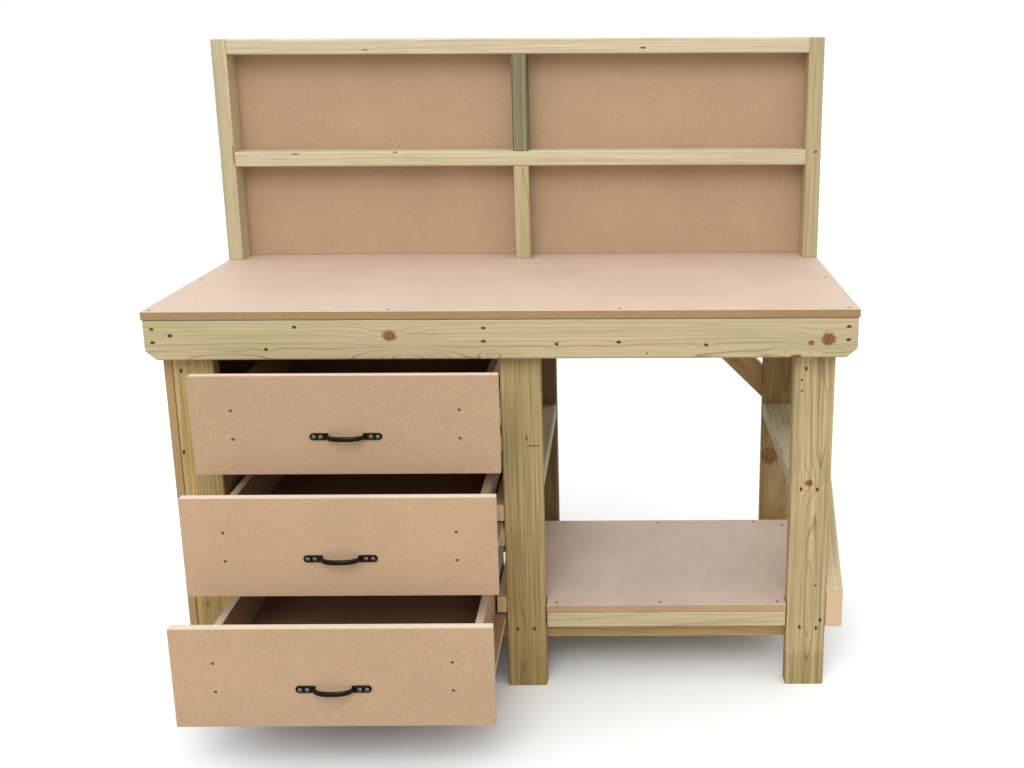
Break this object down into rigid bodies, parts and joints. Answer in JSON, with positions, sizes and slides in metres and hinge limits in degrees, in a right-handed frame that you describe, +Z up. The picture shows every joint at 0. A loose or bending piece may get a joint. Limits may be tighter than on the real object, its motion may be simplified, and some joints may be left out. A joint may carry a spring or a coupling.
{
  "type": "workbench",
  "caption": "Timber-framed workbench with a board worktop, a raised shelf unit along its back, wide drawers that slide on wooden runners and an open bay with a low shelf.",
  "frame": {"origin": "on the floor, under the centre of the whole outline with the drawers open as at rest", "axes": "+X to the right along the worktop, +Y to the back, +Z up"},
  "size_m": [1.524, 0.919, 1.472],
  "materials": {
    "treated_timber": "planed pressure-treated softwood, greenish, with dark knots",
    "batten_wood": "sawn softwood batten",
    "worktop_board": "raw medium-density fibreboard, smooth",
    "drawer_front_board": "raw medium-density fibreboard with pale cut edges",
    "box_board": "raw medium-density fibreboard",
    "shelf_board": "raw medium-density fibreboard, greyed",
    "back_board": "raw medium-density fibreboard",
    "black_cast_iron": "black japanned, semi-gloss",
    "bright_screws": "bright zinc-plated"
  },
  "bodies": {
    "frame": {"worktop": "worktop_board", "front_top_rail": "treated_timber", "back_top_rail": "treated_timber", "left_top_rail": "treated_timber", "centre_top_rail": "treated_timber", "right_top_rail": "treated_timber", "left_front_leg": "treated_timber", "left_back_leg": "treated_timber", "left_mid_rung": "treated_timber", "left_low_rung": "treated_timber", "centre_front_leg": "treated_timber", "centre_back_leg": "treated_timber", "centre_mid_rung": "treated_timber", "centre_low_rung": "treated_timber", "right_front_leg": "treated_timber", "right_back_leg": "treated_timber", "right_mid_rung": "treated_timber", "right_low_rung": "treated_timber", "front_stretcher": "treated_timber", "back_stretcher": "treated_timber", "left_side_panel": "box_board", "drawer_bay_back_panel": "back_board", "side_brace": "treated_timber", "back_brace": "treated_timber", "lower_shelf": "shelf_board", "shelf_front_rail": "treated_timber", "shelf_back_rail": "treated_timber", "shelf_bearers": "batten_wood", "left_runners": "batten_wood", "right_runners": "batten_wood", "upstand_left_upright": "treated_timber", "upstand_right_upright": "treated_timber", "upstand_mid_shelf": "treated_timber", "upstand_top_board": "treated_timber", "upstand_dividers": "treated_timber", "upstand_back_panel": "back_board"},
    "top_drawer": {"top_drawer_front": "drawer_front_board", "top_drawer_inner_front": "box_board", "top_drawer_left_side": "box_board", "top_drawer_right_side": "box_board", "top_drawer_back": "box_board", "top_drawer_bottom": "box_board", "top_drawer_handle": "black_cast_iron", "top_drawer_handle_screws": "bright_screws"},
    "middle_drawer": {"middle_drawer_front": "drawer_front_board", "middle_drawer_inner_front": "box_board", "middle_drawer_left_side": "box_board", "middle_drawer_right_side": "box_board", "middle_drawer_back": "box_board", "middle_drawer_bottom": "box_board", "middle_drawer_handle": "black_cast_iron", "middle_drawer_handle_screws": "bright_screws"},
    "bottom_drawer": {"bottom_drawer_front": "drawer_front_board", "bottom_drawer_inner_front": "box_board", "bottom_drawer_left_side": "box_board", "bottom_drawer_right_side": "box_board", "bottom_drawer_back": "box_board", "bottom_drawer_bottom": "box_board", "bottom_drawer_handle": "black_cast_iron", "bottom_drawer_handle_screws": "bright_screws"}
  },
  "joints": [
    {"name": "top_drawer_slide", "type": "slide", "parent": "frame", "child": "top_drawer", "axis": [0, -1, 0], "range_m": [-0.098, 0.282]},
    {"name": "middle_drawer_slide", "type": "slide", "parent": "frame", "child": "middle_drawer", "axis": [0, -1, 0], "range_m": [-0.196, 0.184]},
    {"name": "bottom_drawer_slide", "type": "slide", "parent": "frame", "child": "bottom_drawer", "axis": [0, -1, 0], "range_m": [-0.305, 0.075]}
  ]
}
